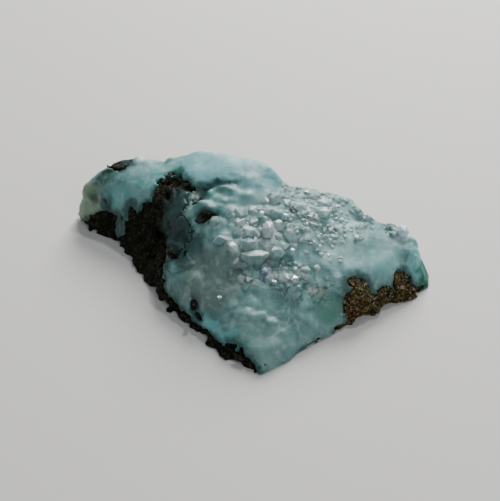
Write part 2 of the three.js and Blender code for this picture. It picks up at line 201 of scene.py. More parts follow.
# Where the chalcedony is smoother: centre, half sizes.
GEM_SMOOTH = (
    ((-4.0, 10.4, 10.4), (10.0, 3.6, 3.4)),
    ((-14.0, 11.0, 7.5), (5.0, 3.0, 3.0)),
    ((14.4, -1.0, 5.4), (6.2, 4.2, 3.4)),
)
ROCK_LUMPS = ((3.1, 0.75), (1.1, 0.42), (0.55, 0.4))
SEAM_LUMPS = ((1.7, 0.3), (0.8, 0.4), (0.42, 0.36))
# How steeply the lumps' height grows from a smooth part outwards, and the share that is left inside it.
GEM_FADE = (2, 0.15)
FILM_FADE = (3, 0.12)
GROUND_FADE = (3, 0.3)  # the z from which the small lumps are full, and what is left of them on the ground
RELIEF_REACH = 1.5  # further outside the stone than this there is no unevenness to work out
SEAM_GAP = 0.04  # between the chalcedony and the rock

# The grid that the form is worked out on.
CELL_CORNERS = tuple(itertools.product((0, 1), repeat=3))
MARGIN = 1.2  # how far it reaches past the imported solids
CELLS_BELOW = 1.5  # and below the ground, in cells
SHEET_SHIFT = 0.01  # how far outside a corner is moved that joins two parts of the inside
CRUMB = 60  # the fewest vertices of a surface that is kept
# Odd multipliers and shifts that scatter the lattice's values.
SCATTER = np.array((374761393, 668265263, 1103515245, 1274126177), np.uint32)
SCATTER_SHIFTS = np.array((13, 16), np.uint32)

# The druse's crystals by sort: the oval fields where they stand (centre and half sizes on the ground, and
# how densely they cover it), their spacing, width and lean as shares of the settings, and the height of the
# tip over that of the sides.
DRUSE = {
    "druse_frost": {
        "fields": (
            ((1.4, -0.2), (4.6, 4.0), 0.9),
            ((6.4, 1.8), (4.8, 3.8), 0.7),
            ((2.4, -5.2), (5.4, 3.0), 0.5),
        ),
        "spacing": 1.25,
        "width": 1.15,
        "tip": 0.26,
        "lean": 0.6,
    },
    "druse_coarse": {
        "fields": (((0.8, -0.6), (4.0, 3.2), 1.0),),
        "spacing": 2.1,
        "width": 1.6,
        "tip": 0.3,
        "lean": 0.75,
    },
    "druse_fine": {
        "fields": (
            ((2.6, -5.6), (5.0, 2.8), 0.6),
            ((8.6, 3.0), (6.8, 5.4), 1.0),
            ((17.6, 3.2), (1.8, 1.4), 1.0),
        ),
        "spacing": 0.95,
        "width": 0.62,
        "tip": 0.32,
        "lean": 0.75,
    },
}
DRUSE_RAGS = ((1.6, 1.0), (0.7, 0.5))  # the lumps that make the fields' edges ragged
DRUSE_RAGGED = 0.35  # and how far they do
DRUSE_EDGE = 4  # how steeply the fields begin
DRUSE_RISE = 0.2  # how far the chalcedony stands out under the frost, in millimetres
DRUSE_LOWEST = 1.5  # no crystal grows below this height, in millimetres
DRUSE_UPRIGHT = 0.35  # nor where the surface faces up less than this
CRYSTAL_SIDES = 6
CRYSTAL_SMALLEST = (0.7, 0.7, 0.7)  # the smallest crystal's size along each axis, as shares of the width
CRYSTAL_LARGEST = (1.35, 1.35, 1.0)
CRYSTAL_SINK = 0.6  # how deep its middle lies, as a share of its height
CRYSTAL_DENSITY = 6e6  # the most points to a square metre
AXIS_REACH = 0.1  # the middles of a crystal's two ends are nearer to its axis than this
# The seeds of the crystals' turns and shades, and the inputs of the tree that grows them.
TURN_SEED = 7
SHADE_SEED = 3
CRYSTAL_INPUTS = {
    "Field": "String",
    "Spacing": "Float",
    "Smallest": "Vector",
    "Largest": "Vector",
    "Tilt": "Float",
    "Tip": "Float",
    "Seed": "Int",
    "Material": "Material",
}
# Larger crystals that stand alone: where the shoulders lie, the size along each axis, the height of the tip
# over that of the sides, and the turns about x, y and z in degrees.
SINGLES = (
    ((0.7, -3.7, 7.75), (3.2, 1.3, 1.6), 0.05, (-4, 2, 5)),
    ((-0.2, -2.7, 8.2), (2.0, 1.8, 1.6), 0.5, (30, -12, 20)),
    ((-2.0, -3.0, 8.0), (1.2, 1.7, 1.5), 0.4, (22, -30, 10)),
    ((2.3, -0.9, 9.0), (1.5, 2.4, 1.6), 0.3, (26, 14, 0)),
    ((0.3, -1.2, 8.9), (1.8, 1.2, 1.5), 0.3, (34, 5, 50)),
    ((1.8, -5.4, 6.4), (1.0, 1.0, 1.2), 0.7, (40, -20, 35)),
    ((3.4, -3.4, 7.7), (1.8, 1.5, 1.5), 0.35, (18, 24, 15)),
    ((6.2, 3.2, 9.2), (1.9, 1.6, 1.5), 0.2, (12, 6, 25)),
    ((8.6, 3.0, 8.5), (2.2, 1.9, 1.5), 0.2, (10, -8, 0)),
    ((18.6, 2.3, 6.1), (1.7, 1.6, 1.7), 0.3, (38, 12, 8)),
    ((17.4, 2.0, 5.8), (0.9, 1.1, 1.3), 0.3, (30, -14, 30)),
)
# Small crystals with polished ends that lie nearly level: where each end lies, and what they share.
GLINTS = (
    (7.3, 2.1, 8.7), (10.1, 4.1, 7.8), (12.8, 0.1, 7.1), (5.1, -3.0, 7.7), (4.3, 1.3, 9.55), (7.0, 7.0, 8.6),
    (9.4, 5.6, 8.4), (1.5, 1.6, 9.6), (2.9, -7.0, 6.3), (-3.4, -7.7, 4.5),
)
GLINT_SIZE = (0.55, 0.45, 0.8)
GLINT_TIP = 0.03
GLINT_TURNS = (-2, 9, 0)
# What the crystals' material makes of them: from 0, deep, to 1, pale and polished.
SINGLE_SHADE = 0.6
GLINT_SHADE = 0.95

SCREEN_WHITE = 255
SCREEN_POWER = 2.2  # turns a share of white on a screen into a share of its light
# Colours, as screen values.
GEM_PALE = (128, 166, 164)
GEM_DEEP = (88, 128, 126)
GEM_OVER_ROCK = (40, 70, 64)
WISP_PALE = (186, 206, 205)
WISP_DEEP = (52, 92, 90)
HEALED_CRACK = (182, 202, 200)
CRYSTAL_PALE = (196, 212, 212)
CRYSTAL_DEEP = (96, 138, 136)
# The rock's near-black away from its brown side: partly its own colour, partly painted shade.
ROCK_DARK_AND_SHADED = ((13, 16, 10), (25, 26, 17))
ROCK_BROWN = ((52, 44, 24), (82, 64, 40))
RUST = (98, 58, 40)
GRAIN_OLIVE = (104, 100, 54)
GRAIN_PALE = (150, 132, 108)
GRAIN_DARK = (12, 13, 10)
FILM_COLOURS = ((34, 52, 48), (58, 84, 84))
# The parts of the rock with colours of their own: centre and half sizes in millimetres.
BROWN_SIDE = ((15.0, -4.6, 2.0), (8.0, 5.0, 5.0))
RUST_SPOT = ((11.4, -7.0, 1.0), (1.9, 2.0, 1.6))
STAIN_SPOT = ((-15.4, 14.2, 9.0), (2.4, 2.6, 1.6))
GRAIN = 0.21  # the size of the rock's grains, in millimetres
QUARTZ_IOR = 1.54
# Tints that lie in the chalcedony: centre and half sizes in millimetres, colour, and how much they cover.
# Some of them are painted shade, painted highlight or painted glow, as marked.
GEM_TINTS = (
    ((-3.6, 10.0, 10.7), (9.0, 3.2, 2.4), (120, 178, 182), 0.85),
    ((1.6, 7.6, 10.5), (4.5, 3.0, 2.5), (98, 150, 156), 0.85),
    ((0.6, 3.0, 9.6), (3.6, 2.6, 1.8), (146, 180, 180), 0.8),
    ((-13.5, 11.0, 7.6), (5.5, 3.4, 3.0), (122, 165, 164), 0.8),
    ((-14.0, 13.7, 8.5), (0.9, 0.9, 0.7), (190, 214, 230), 0.9),
    ((-15.6, 9.6, 5.6), (3.2, 1.6, 1.6), (112, 176, 176), 0.7),
    ((-20.6, 11.6, 3.2), (2.6, 3.2, 3.6), (128, 148, 122), 0.85),
    ((-18.6, 12.3, 7.2), (2.2, 1.4, 1.6), (42, 78, 70), 0.9),
    ((-11.5, 9.9, 8.2), (3.2, 1.6, 1.4), (108, 170, 168), 0.7),
    ((-8.7, 9.9, 9.4), (0.9, 1.0, 0.9), (40, 110, 98), 0.9),
    # The next two: deep teal with painted shade, darkest in the recess under the crown's rim.
    ((-5.9, 5.6, 9.7), (1.8, 1.6, 1.6), (24, 60, 60), 0.9),
    ((-3.8, 6.2, 10.1), (2.6, 0.8, 1.6), (24, 66, 68), 0.9),
    ((-4.4, 4.2, 9.6), (1.0, 1.4, 1.2), (128, 178, 174), 0.7),
    ((-1.6, 4.4, 10.0), (2.0, 1.0, 1.2), (108, 160, 158), 0.7),
    ((-3.4, 2.4, 9.3), (1.6, 1.4, 1.4), (72, 118, 120), 0.7),
    ((-6.9, -2.2, 6.2), (2.4, 3.2, 2.8), (46, 76, 76), 0.85),
    ((-1.9, -2.8, 8.1), (1.0, 1.1, 0.9), (182, 200, 196), 0.85),
    ((0.4, -1.0, 8.5), (1.8, 1.3, 1.0), (176, 194, 194), 0.85),
    ((2.4, -0.6, 8.9), (1.6, 1.9, 1.2), (190, 198, 200), 0.85),
    # Pale crystal face, its near-white partly a painted highlight.
    ((0.6, -3.6, 7.4), (1.8, 0.5, 0.6), (214, 222, 210), 0.9),
    ((1.8, -5.4, 6.5), (0.8, 0.8, 0.9), (176, 196, 222), 0.95),
    # Deep teal with painted shade in a small hollow of the vug.
    ((-1.4, -5.2, 6.6), (1.0, 0.9, 1.0), (34, 70, 68), 0.8),
    ((-4.6, -5.4, 5.0), (3.6, 4.6, 3.6), (104, 124, 118), 0.85),
    ((1.4, -13.2, 2.2), (4.0, 3.0, 2.0), (118, 152, 148), 0.7),
    # The next three: painted glow, bright turquoise along the thin front-left edge where light would shine
    # through it.
    ((-5.6, -8.9, 1.7), (1.4, 1.5, 1.2), (126, 196, 198), 0.6),
    ((-3.6, -10.9, 1.4), (1.4, 1.6, 1.1), (126, 196, 198), 0.6),
    ((-1.2, -13.2, 1.2), (1.4, 1.6, 1.0), (126, 196, 198), 0.6),
    ((9.6, -7.9, 3.2), (2.4, 2.4, 2.4), (88, 134, 124), 0.85),
    ((7.9, -6.9, 4.6), (1.3, 0.7, 0.8), (150, 148, 140), 0.55),
    ((6.1, 3.4, 9.0), (1.6, 1.6, 1.2), (150, 186, 184), 0.7),
    ((11.0, 3.8, 7.4), (3.2, 3.0, 1.8), (132, 172, 172), 0.8),
    ((10.6, -2.6, 6.2), (3.6, 2.2, 1.6), (132, 174, 174), 0.8),
    ((16.2, -1.7, 5.0), (3.4, 2.2, 2.0), (124, 172, 172), 0.8),
    ((15.4, 2.2, 6.0), (1.2, 1.2, 1.0), (140, 182, 186), 0.7),
    # Dark green with painted shade in the groove between the knob's faces.
    ((16.9, 2.4, 5.8), (0.5, 1.2, 1.0), (66, 120, 112), 0.8),
    ((17.7, 3.9, 6.2), (1.9, 1.1, 1.2), (40, 104, 92), 0.95),
    # Pale bluish crystal face, its near-white partly a painted highlight.
    ((18.6, 2.5, 5.7), (1.1, 1.1, 1.1), (210, 228, 238), 0.95),
    ((20.6, 0.2, 3.6), (1.3, 3.0, 2.4), (116, 178, 180), 0.85),
    # Pale cyan streak on the right end, partly a painted highlight.
    ((20.4, -0.8, 3.0), (0.4, 1.0, 1.4), (140, 186, 184), 0.7),
    ((21.6, -0.4, 1.4), (1.1, 2.4, 1.9), (16, 100, 82), 0.95),
)
# Tints that lie there in flecks: centre, half sizes, colour, cover and the flecks' size.
# Some of them are painted shade or painted glow, as marked.
GEM_FLECKS = (
    ((6.4, -6.6, 5.2), (4.8, 2.6, 2.4), (44, 80, 72), 0.75, 0.7),
    # Deep teal flecks with painted shade in the druse's hollow.
    ((2.6, -5.6, 6.2), (4.6, 2.8, 2.0), (60, 96, 94), 0.8, 1.0),
    ((1.4, -10.8, 3.9), (4.0, 1.3, 1.6), (148, 174, 172), 0.8, 1.3),
    ((-3.0, -6.0, 6.0), (3.0, 2.0, 2.0), (140, 160, 156), 0.6, 1.6),
    # Painted glow: bright turquoise flecks near the thin front-left edge where light would shine through it.
    ((-4.6, -10.4, 2.0), (4.0, 5.0, 1.0), (112, 186, 190), 0.7, 1.4),
    # Painted shade: dark flecks on the left side of the front lobe, which faces away from the light.
    ((-9.6, -3.0, 3.2), (1.8, 3.6, 3.0), (52, 92, 86), 0.8, 1.6),
    ((8.0, 1.0, 8.0), (7.0, 5.0, 2.6), (108, 156, 152), 0.5, 1.1),
    ((0.0, 0.0, 8.8), (5.0, 3.6, 2.0), (96, 136, 136), 0.5, 1.1),
    ((-13.0, 11.0, 8.0), (7.0, 4.0, 3.0), (84, 132, 130), 0.5, 1.4),
)
TINT_EDGE = (1.25, 0.6)  # the shares of its size between which a tint fades
SMALL_TINT = 1.9  # a tint no larger than this is moved about less

# The lights: place and size across in metres, and colour.
LIGHTS = {
    "key": ((0.07, 0.28, 0.20), 0.2, (1.0, 0.985, 0.96)),
    "fill": ((0.10, -0.22, 0.22), 0.25, (0.93, 0.97, 1.0)),
    "spark": ((0.10, 0.14, 0.30), 0.025, (1.0, 1.0, 1.0)),
}
STUDIO_COLOUR = (0.80, 0.84, 0.88, 1.0)  # the light from all round
STUDIO_STRENGTH = 0.25
FLOOR_HALF = 600  # half its length, in millimetres
FLOOR_DROP = 0.02  # how far under the stone it lies, so that no two faces coincide
FLOOR_ROUGHNESS = 0.7
# The camera: the point it looks at, its height as an angle from there, and its distance.
CAMERA_TARGET = (0.1 * MM, 0.0, 5.0 * MM)
CAMERA_ELEVATION = math.radians(40)
CAMERA_DISTANCE = 167 * MM
CAMERA_LENS = 100  # millimetres
CAMERA_CLIP = 0.01


def lattice_value(i, j, k):
    """A value from 0 to 1 for each lattice point, the same on every run."""
    i, j, k = (np.asarray(axis).astype(np.int64).astype(np.uint32) for axis in (i, j, k))
    h = i * SCATTER[0] ^ j * SCATTER[1] ^ k * SCATTER[2]
    h = (h ^ (h >> SCATTER_SHIFTS[0])) * SCATTER[3]
    return (h ^ (h >> SCATTER_SHIFTS[1])).astype(np.float64) / np.iinfo(np.uint32).max


def lumps(x, y, z, spacing):
    """Smooth lumps from -1 to 1, one lattice cell apart."""
    place = [axis / spacing for axis in (x, y, z)]
    cell = [np.floor(axis) for axis in place]
    share = [(axis - low) ** 2 * (3 - 2 * (axis - low)) for axis, low in zip(place, cell)]
    total = 0
    for corner in CELL_CORNERS:
        weight = 1
        for upper, along in zip(corner, share):
            weight = weight * (along if upper else 1 - along)
        total = total + weight * lattice_value(*(low + step for low, step in zip(cell, corner)))
    return 2 * total - 1


def unevenness(x, y, z, octaves):
    """Lumps of several spacings and heights together."""
    return sum(height * lumps(x, y, z, spacing) for spacing, height in octaves)


def smooth_max(a, b, reach):
    """The larger value, with the crease between the two rounded over the reach."""
    h = np.clip(0.5 + 0.5 * (a - b) / reach, 0, 1)
    return b + (a - b) * h + reach * h * (1 - h)


def blob_distance(blob, x, y, z):
    """About how far points lie outside an ellipsoid, negative inside it."""
    centre, half = blob
    scaled = sum(((axis - c) / size) ** 2 for axis, c, size in zip((x, y, z), centre, half))
    return (np.sqrt(scaled) - 1) * min(half)


def share_outside(blob, x, y, z, steepness, least):
    """1 outside an ellipsoid, falling to the least share inside it."""
    return np.clip(1 + steepness * blob_distance(blob, x, y, z) / min(blob[1]), least, 1)


def top_height(x, y):
    """The height of the top over points of the ground."""
    total = shares = 0
    for spot_x, spot_y, height in SPOTS:
        share = np.exp(-((x - spot_x) ** 2 + (y - spot_y) ** 2) / (2 * SPOT_REACH**2))
        total = total + share * height
        shares = shares + share
    return total / np.maximum(shares, np.finfo(float).tiny)


def wall_at(x, y):
    """Distance outside the outline, and the wall's lean and rounding there."""
    nearest = np.full(np.shape(x), np.inf)
    inside = np.zeros(np.shape(x), bool)
    lean = rounding = shares = 0
    for (ax, ay, a_lean, a_round), (bx, by, b_lean, b_round) in zip(OUTLINE, OUTLINE[1:] + OUTLINE[:1]):
        ex, ey = bx - ax, by - ay
        along = np.clip(((x - ax) * ex + (y - ay) * ey) / (ex * ex + ey * ey), 0, 1)
        distance = np.hypot(x - ax - along * ex, y - ay - along * ey)
        share = 1 / (distance + EDGE_NEAR) ** EDGE_FALL
        lean = lean + share * (a_lean + (b_lean - a_lean) * along)
        rounding = rounding + share * (a_round + (b_round - a_round) * along)
        shares = shares + share
        nearest = np.minimum(nearest, distance)
        if ay != by:
            inside ^= ((ay > y) != (by > y)) & (x < ax + (y - ay) * ex / ey)
    return np.where(inside, -nearest, nearest), lean / shares, rounding / shares


def stone_field(x, y, z):
    """The whole stone as a field that is negative inside it."""
    ground_x, ground_y = x[:, :, :1], y[:, :, :1]
    outside, lean, rounding = wall_at(ground_x, ground_y)
    wall = (outside + lean * z) / np.hypot(1, lean)
    field = smooth_max(wall, (z - top_height(ground_x, ground_y)) * TOP_STEEPNESS, rounding)
    for hollow in HOLLOWS:
        field = smooth_max(field, -blob_distance(hollow, x, y, z), HOLLOW_ROUND)
    for hollow in SMALL_HOLLOWS:
        field = smooth_max(field, -blob_distance(hollow, x, y, z), SMALL_ROUND)
    for knob in KNOBS:
        field = -smooth_max(-field, -blob_distance(knob, x, y, z), SMALL_ROUND)
    return field


def druse_cover(x, y, sort):
    """How densely one sort of crystal stands over points of the ground, from 0 to 1."""
    ragged = DRUSE_RAGGED * unevenness(x, y, 0 * x, DRUSE_RAGS)
    cover = np.zeros(np.shape(x))
    for (centre_x, centre_y), (half_x, half_y), densest in DRUSE[sort]["fields"]:
        inside = 1 - np.hypot((x - centre_x) / half_x, (y - centre_y) / half_y) + ragged
        cover = np.maximum(cover, densest * np.clip(DRUSE_EDGE * inside, 0, 1))
    return cover


def gem_relief(x, y, z):
    """How far the chalcedony's surface lies inside its plain form. The small lumps, and the billows with
    creases between them, are lower where it is smooth and near the ground. Under the druse the surface
    stands out."""
    full_height, least = GROUND_FADE
    rough = np.clip(z / full_height, least, 1)
    for smooth_part in GEM_SMOOTH:
        rough = rough * share_outside(smooth_part, x, y, z, *GEM_FADE)
    billows = sum(height * (BILLOW_CREASE - abs(lumps(y, z, x, spacing))) for spacing, height in GEM_BILLOWS)
    small = unevenness(x, y, z, GEM_LUMPS[1:]) + billows
    return unevenness(x, y, z, GEM_LUMPS[:1]) + rough * small - DRUSE_RISE * druse_cover(x, y, "druse_frost")


def rock_relief(x, y, z):
    """How far the rock's surface lies inside its plain form: lumps that are lower under the smooth film."""
    return share_outside(FILM, x, y, z, *FILM_FADE) * unevenness(x, y, z, ROCK_LUMPS)


def rock_field(x, y, z):
    """Positive inside the host rock, negative in the chalcedony."""
    thinned = BED_THINS * np.maximum(0, BED_FRONT - y) + BED_END_THINS * np.maximum(0, abs(x) - BED_END)
    lump_spacing, lump_height = BED_LUMPS
    bed = BED_HEIGHT - thinned + lump_height * lumps(x, y, 0 * z, lump_spacing)
    field = (bed - z) * BED_STEEPNESS
    for blob in ROCK_BLOBS + SPECKS:
        field = np.maximum(field, -blob_distance(blob, x, y, z))
    for run in RUNS:
        field = np.minimum(field, blob_distance(run, x, y, z))
    return field


def separate_sheets(values):
    """Where the inside meets itself only corner to corner in a square of the grid, moves the weaker of the
    two corners outside, so that no more than two squares of the surface share an edge."""
    corner_steps = np.array([(0, 0, 0), (0, 1, 0), (0, 1, 1), (0, 0, 1)])
    moves = 1
    while moves:
        moves = 0
        for axis in range(3):
            grid = np.moveaxis(values, axis, 0)
            corners = (grid[:, :-1, :-1], grid[:, 1:, :-1], grid[:, 1:, 1:], grid[:, :-1, 1:])
            a, b, c, d = (corner < 0 for corner in corners)
            touching = (a == c) & (b == d) & (a != b)
            depths = [np.where(corner[touching] < 0, corner[touching], -np.inf) for corner in corners]
            moved = np.argwhere(touching) + corner_steps[np.argmax(depths, axis=0)]
            grid[tuple(moved.T)] = SHEET_SHIFT
            moves += len(moved)


def at_corner(grid, corner):
    """The grid's values at that corner of each of its cells."""
    return grid[tuple(slice(start, size - 1 + start) for start, size in zip(corner, grid.shape))]


def surface_places(values, cells):
    """The mean of where the zero surface crosses each cell's edges, from the cell's lowest corner."""
    total = np.zeros((len(cells), 3))
    crossings = np.zeros(len(cells))
    for start in CELL_CORNERS:
        for axis in range(3):
            if start[axis]:
                continue
            end = np.array(start)
            end[axis] = 1
            a = values[tuple((cells + start).T)]
            b = values[tuple((cells + end).T)]
            cross = (a < 0) != (b < 0)
            point = np.tile(np.array(start, float), (len(cells), 1))
            point[:, axis] = a / np.where(cross, a - b, 1)
            total += point * cross[:, None]
            crossings += cross
    return total / crossings[:, None]


def squares_along(axis, solid, number):
    """The outward squares round the crossed edges of the grid that run along that axis."""
    across, up = (axis + 1) % 3, (axis + 2) % 3
    here = np.moveaxis(solid, axis, 0)
    edges = np.argwhere(np.moveaxis(here[:-1] != here[1:], 0, axis))
    corners = []
    for back, down in ((1, 1), (0, 1), (0, 0), (1, 0)):
        cell = edges.copy()
        cell[:, across] -= back
        cell[:, up] -= down
        corners.append(number[tuple(cell.T)])
    squares = np.stack(corners, 1)
    inward = ~solid[tuple(edges.T)]
    squares[inward] = squares[inward][:, ::-1]
    return squares


def surface_nets(values, low, step):
    """The zero surface of a grid of values: a vertex in each crossed cell, a square at each crossed edge."""
    solid = values < 0
    count = sum(at_corner(solid, corner).astype(np.int8) for corner in CELL_CORNERS)
    crossed = (count > 0) & (count < len(CELL_CORNERS))
    number = np.full(crossed.shape, -1)
    cells = np.argwhere(crossed)
    number[crossed] = np.arange(len(cells))
    vertices = (cells + surface_places(values, cells)) * step + low
    return vertices, np.concatenate([squares_along(axis, solid, number) for axis in range(3)])


def whole_shells(vertices, squares):
    """Leaves out crumbs and bubbles: closed surfaces of fewer vertices than a crumb's."""
    label = np.arange(len(vertices))
    while True:
        lowest = label[squares].min(1)
        renewed = label.copy()
        for corner in squares.T:
            np.minimum.at(renewed, corner, lowest)
        renewed = renewed[renewed]
        if (renewed == label).all():
            break
        label = renewed
    kept = np.bincount(label)[label] >= CRUMB
    renumbered = np.cumsum(kept) - 1
    return vertices[kept], renumbered[squares[kept[squares[:, 0]]]]


def stone_meshes(cell):
    """The chalcedony and the rock as vertices and squares, in millimetres, on a grid of that cell size."""
    low, high = np.array(CAD_BOX[0]) / MM - MARGIN, np.array(CAD_BOX[1]) / MM + MARGIN
    low[2] = -CELLS_BELOW * cell
    x, y, z = (np.arange(start, end, cell) for start, end in zip(low, high))
    x, y, z = np.meshgrid(x, y, z, indexing="ij")
    stone = stone_field(x, y, z)
    near = stone < RELIEF_REACH
    seam = rock_field(x, y, z)
    seam[near] += unevenness(x[near], y[near], z[near], SEAM_LUMPS)
    shells = {}
    for name, relief, side in ((GEM, gem_relief, 1), (ROCK, rock_relief, -1)):
        outside = stone.copy()
        outside[near] += relief(x[near], y[near], z[near])
        values = np.maximum.reduce([outside, -z, side * seam + SEAM_GAP / 2])
        separate_sheets(values)
        shells[name] = whole_shells(*surface_nets(values, low, cell))
    return shells


def new_object(name, mesh):
    """A new object at the origin with that mesh."""
    thing = bpy.data.objects.new(name, mesh)
    bpy.context.scene.collection.objects.link(thing)
    return thing


def mesh_object(name, vertices, faces):
    """A new object whose mesh holds the faces, given in millimetres."""
    mesh = bpy.data.meshes.new(name)
    mesh.from_pydata((vertices * MM).tolist(), [], [tuple(face) for face in faces])
    mesh.update()
    return new_object(name, mesh)


def vertex_numbers(thing, name, values):
    """Stores one number for each vertex of the object's mesh."""
    attribute = thing.data.attributes.new(name, "FLOAT", "POINT")
    attribute.data.foreach_set("value", np.asarray(values, np.float32))


def linear(colour):
    """A colour given as three screen values from 0 to 255, as a shader takes it."""
    return tuple((value / SCREEN_WHITE) ** SCREEN_POWER for value in colour) + (1.0,)


class Socket:
    """A socket of a node tree. Python's operators on it add Math nodes."""

    def __init__(self, nodes, socket):
        self.nodes = nodes
        self.socket = socket

    def beside(self, name):
        """Another output of the same node."""
        return Socket(self.nodes, self.socket.node.outputs[name])

    def math(self, operation, *operands):
        """A Math node on sockets and numbers."""
        return self.nodes.add("ShaderNodeMath", {"operation": operation}, dict(enumerate(operands)))

    def __add__(self, other):
        return self.math("ADD", self, other)

    def __sub__(self, other):
        return self.math("SUBTRACT", self, other)

    def __rsub__(self, other):
        return self.math("SUBTRACT", other, self)

    def __mul__(self, other):
        return self.math("MULTIPLY", self, other)

    __radd__ = __add__
    __rmul__ = __mul__


class Nodes:
    """A node tree whose nodes are added one after another."""

    def __init__(self, tree):
        self.tree = tree

    def add(self, kind, settings=None, inputs=None, output=0):
        """Adds a node: its settings first, then its sockets' values or links. Gives one of its outputs."""
        node = self.tree.nodes.new(kind)
        for name, value in (settings or {}).items():
            setattr(node, name, value)
        for name, value in (inputs or {}).items():
            if isinstance(value, Socket):
                self.tree.links.new(value.socket, node.inputs[name])
            else:
                node.inputs[name].default_value = value
        return Socket(self, node.outputs[output])

    def vector(self, operation, *operands, output="Vector"):
        """A Vector Math node on sockets and vectors."""
        settings = {"operation": operation}
        return self.add("ShaderNodeVectorMath", settings, dict(enumerate(operands)), output)


class Shader(Nodes):
    """A material's node tree, with one method for each kind of step that the finishes take."""

    def __init__(self, name):
        self.material = bpy.data.materials.new(name)
        self.material.use_nodes = True
        super().__init__(self.material.node_tree)
        self.tree.nodes.clear()

    def place(self):
        """The point on the piece, in millimetres."""
        coordinates = self.add("ShaderNodeTexCoord", output="Object")
        return self.vector("MULTIPLY", coordinates, (1 / MM,) * 3)

    def noise(self, place, size, detail=3.0, roughness=0.55, distortion=0.0, output=0):
        """Cloudy noise about 0.5, its clouds about as large as the size."""
        inputs = {"Vector": place, "Scale": 1 / size, "Detail": detail, "Roughness": roughness}
        inputs["Distortion"] = distortion
        return self.add("ShaderNodeTexNoise", None, inputs, output)

    def grains(self, place, size, feature="F1", output="Distance"):
        """Grains about as large as the size: the distance from each one's middle or edge, or its colour."""
        inputs = {"Vector": place, "Scale": 1 / size}
        return self.add("ShaderNodeTexVoronoi", {"feature": feature}, inputs, output)

    def between(self, value, low, high, to_low=0.0, to_high=1.0):
        """Takes the value from low..high to to_low..to_high, smoothly and no further."""
        settings = {"interpolation_type": "SMOOTHSTEP"}
        inputs = {"Value": value, "From Min": low, "From Max": high, "To Min": to_low, "To Max": to_high}
        return self.add("ShaderNodeMapRange", settings, inputs)

    def mixed(self, factor, first, second):
        """From the first colour to the second, each a socket or three screen values."""
        first, second = (each if isinstance(each, Socket) else linear(each) for each in (first, second))
        inputs = {"Factor": factor, 6: first, 7: second}
        return self.add("ShaderNodeMix", {"data_type": "RGBA"}, inputs, output=2)

    def moved(self, place, size, reach):
        """The place, moved about by noise, so that what is drawn there gets an uneven edge."""
        drift = self.vector("SUBTRACT", self.noise(place, size, detail=4.0, output=1), (0.5,) * 3)
        return self.vector("ADD", place, self.vector("MULTIPLY", drift, (2 * reach,) * 3))

    def blob(self, place, centre, half, edge=TINT_EDGE):
        """1 inside an ellipsoid and 0 outside it, softened between the two shares of its size."""
        scaled = self.vector("DIVIDE", self.vector("SUBTRACT", place, centre), half)
        return self.between(self.vector("LENGTH", scaled, output="Value"), *edge)

    def number(self, name):
        """A number that the piece's mesh stores for each of its points."""
        return self.add("ShaderNodeAttribute", {"attribute_name": name}, output="Fac")

    def finish(self, values, bump=None, bump_distance=None, bump_strength=None):
        """The material of these shader values, with a bump whose distance is in millimetres."""
        inputs = dict(values)
        if bump is not None:
            heights = {"Height": bump, "Distance": bump_distance * MM, "Strength": bump_strength}
            inputs["Normal"] = self.add("ShaderNodeBump", None, heights)
        surface = self.add("ShaderNodeBsdfPrincipled", None, inputs)
        output = self.tree.nodes.new("ShaderNodeOutputMaterial")
        self.tree.links.new(surface.socket, output.inputs["Surface"])
        return self.material


def gem_colour(shader, place):
    """The colour of the chalcedony at each place: drifts of pale and deep green, tints, wisps, healed cracks
    and flecks.
    Some tints and flecks are painted shade, painted highlight or painted glow, as marked in their tables."""
    drift = shader.noise(place, size=3.4, detail=5.0, roughness=0.6, distortion=0.6)
    colour = shader.mixed(shader.between(drift, 0.35, 0.65), GEM_DEEP, GEM_PALE)
    moved = shader.moved(place, size=2.4, reach=1.5)
    nudged = shader.moved(place, size=0.8, reach=0.3)
    for centre, half, tint, cover in GEM_TINTS:
        mask = shader.blob(moved if max(half) > SMALL_TINT else nudged, centre, half) * cover
        colour = shader.mixed(mask, colour, tint)
    wisp = shader.noise(place, size=1.5, detail=6.0, roughness=0.65, distortion=1.2)
    colour = shader.mixed(shader.between(wisp, 0.52, 0.8, 0.0, 0.28), colour, WISP_PALE)
    colour = shader.mixed(shader.between(wisp, 0.48, 0.25, 0.0, 0.3), colour, WISP_DEEP)
    crack = shader.grains(shader.moved(place, size=2.2, reach=1.2), size=3.4, feature="DISTANCE_TO_EDGE")
    healed = shader.between(crack, 0.0, 0.09, 0.3, 0.0) * shader.between(wisp, 0.42, 0.62)
    colour = shader.mixed(healed, colour, HEALED_CRACK)
    for centre, half, tint, cover, size in GEM_FLECKS:
        clouds = shader.noise(place, size, detail=6.0, roughness=0.6, distortion=0.8)
        fleck = shader.between(clouds, 0.5, 0.6)
        colour = shader.mixed(shader.blob(moved, centre, half) * fleck * cover, colour, tint)
    return colour


def gem_material():
    """The chalcedony: waxy, with light scattered under it, and darker where rock is close below."""
    shader = Shader(GEM)
    place = shader.place()
    colour = gem_colour(shader, place)
    from_rock = shader.number(FROM_ROCK) + shader.noise(place, size=0.9) * 1.2
    colour = shader.mixed(shader.between(from_rock, 1.5, 0.7) * 0.8, colour, GEM_OVER_ROCK)
    roughness = shader.noise(place, size=1.1, detail=4.0) * 0.3 + 0.29
    bump = shader.noise(place, size=0.5, detail=5.0, roughness=0.6)
    values = {
        "Base Color": colour,
        "Roughness": roughness,
        "IOR": QUARTZ_IOR,
        "Subsurface Weight": 1.0,
        "Subsurface Radius": (0.7, 1.1, 1.05),
        "Subsurface Scale": 0.0008,
        "Specular IOR Level": 0.24,
    }
    return shader.finish(values, bump, bump_distance=0.1, bump_strength=0.4)


